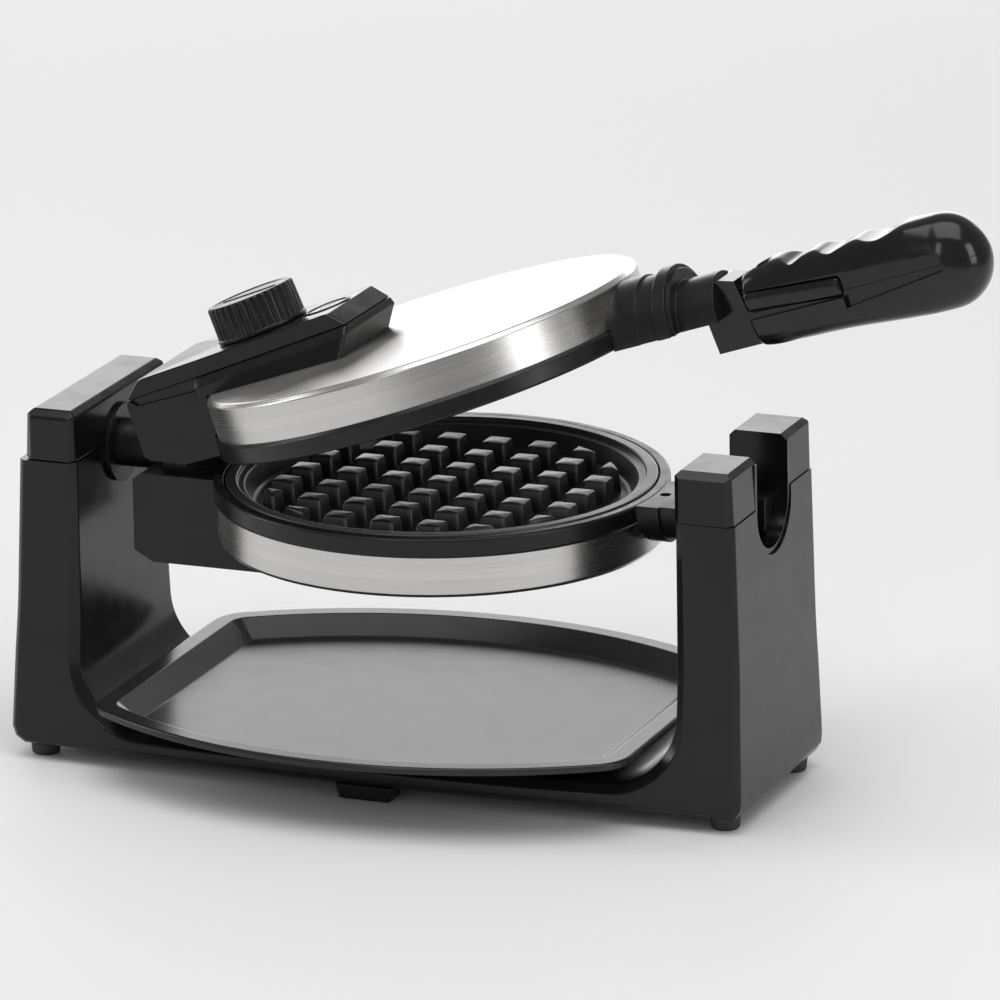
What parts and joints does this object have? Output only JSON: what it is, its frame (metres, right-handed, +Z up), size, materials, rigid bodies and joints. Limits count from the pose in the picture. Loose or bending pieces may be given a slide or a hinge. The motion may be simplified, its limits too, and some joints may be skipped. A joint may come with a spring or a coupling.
{
  "type": "rotating waffle maker",
  "caption": "Belgian waffle maker: round baking head with hinged lid turns on a U-shaped base; browning knob, folding handle, drip tray",
  "frame": {"origin": "On the table, at the middle of the whole outline seen from above, with the lid standing open.", "axes": "X runs along the base from the hinge side to the handle side, Y runs to the back, Z is up. The head turns about X and the lid opens about Y."},
  "size_m": [0.4508, 0.229, 0.2744],
  "materials": {
    "gloss_black": "injection-moulded gloss black thermoplastic with a faint reflective coat",
    "satin_black": "fine-textured satin black moulded plastic",
    "grip_black": "soft satin black moulded grip",
    "brushed_steel": "stainless steel brushed in one direction",
    "nonstick": "dark satin non-stick coating on cast aluminium",
    "tray_black": "polished black drip tray",
    "heater": "heat-tinted steel sheath",
    "reflector": "pressed aluminium sheet",
    "steel_fixings": "plated steel fixings and shafts",
    "foot_rubber": "soft non-slip rubber",
    "ceramic": "pale heat-resistant insulating block",
    "lamp": "tinted lamp lens",
    "window": "smoked clear window"
  },
  "bodies": {
    "base": {"base_shell": "gloss_black", "left_tower_cap": "gloss_black", "right_tower_cap": "satin_black", "bearing_bush": "satin_black", "base_cover": "satin_black", "rubber_feet": "foot_rubber", "front_foot": "satin_black", "base_screws": "steel_fixings", "cord_inlet": "satin_black", "terminal_block": "ceramic"},
    "tray": {"drip_tray": "tray_black"},
    "head": {"lower_shell": "brushed_steel", "lower_ring": "satin_black", "lower_grid_plate": "nonstick", "lower_element": "heater", "lower_reflector": "reflector", "lower_thermal_fuse": "ceramic", "lower_plate_screws": "steel_fixings", "lower_hinge_block": "satin_black", "lower_neck": "satin_black", "neck_screw": "steel_fixings", "lid_hinge_pin": "steel_fixings", "pivot_shaft": "satin_black", "shaft_collar": "steel_fixings"},
    "lid": {"lid_shell": "brushed_steel", "lid_ring": "satin_black", "upper_grid_plate": "nonstick", "upper_element": "heater", "upper_reflector": "reflector", "upper_plate_screws": "steel_fixings", "upper_hinge_block": "satin_black", "control_cover": "gloss_black", "cover_flange": "satin_black", "thermostat": "ceramic", "indicator_lamps": "lamp", "lamp_window": "window", "upper_neck": "satin_black", "handle_arm": "satin_black", "handle_pin": "steel_fixings"},
    "grip": {"grip_top": "grip_black", "grip_bottom": "grip_black", "grip_screws": "steel_fixings"},
    "knob": {"browning_knob": "gloss_black", "knob_spindle": "steel_fixings"}
  },
  "joints": [
    {"name": "head_rotation", "type": "hinge", "parent": "base", "child": "head", "pos_m": [-0.03436, 0, 0.1365], "axis": [1, 0, 0], "range_deg": [-90, 0]},
    {"name": "lid_hinge", "type": "hinge", "parent": "head", "child": "lid", "pos_m": [-0.15336, 0, 0.155], "axis": [0, -1, 0], "range_deg": [-18.5, 41]},
    {"name": "handle_fold", "type": "hinge", "parent": "lid", "child": "grip", "pos_m": [0.12737, 0, 0.22046], "axis": [0, 1, 0], "range_deg": [0, 85]},
    {"name": "browning_dial", "type": "hinge", "parent": "lid", "child": "knob", "pos_m": [-0.11941, 0, 0.19536], "axis": [0.3795, 0, -0.9252], "range_deg": [0, 270]},
    {"name": "tray_slide", "type": "slide", "parent": "base", "child": "tray", "axis": [0, -1, 0], "range_m": [0, 0.1]}
  ]
}
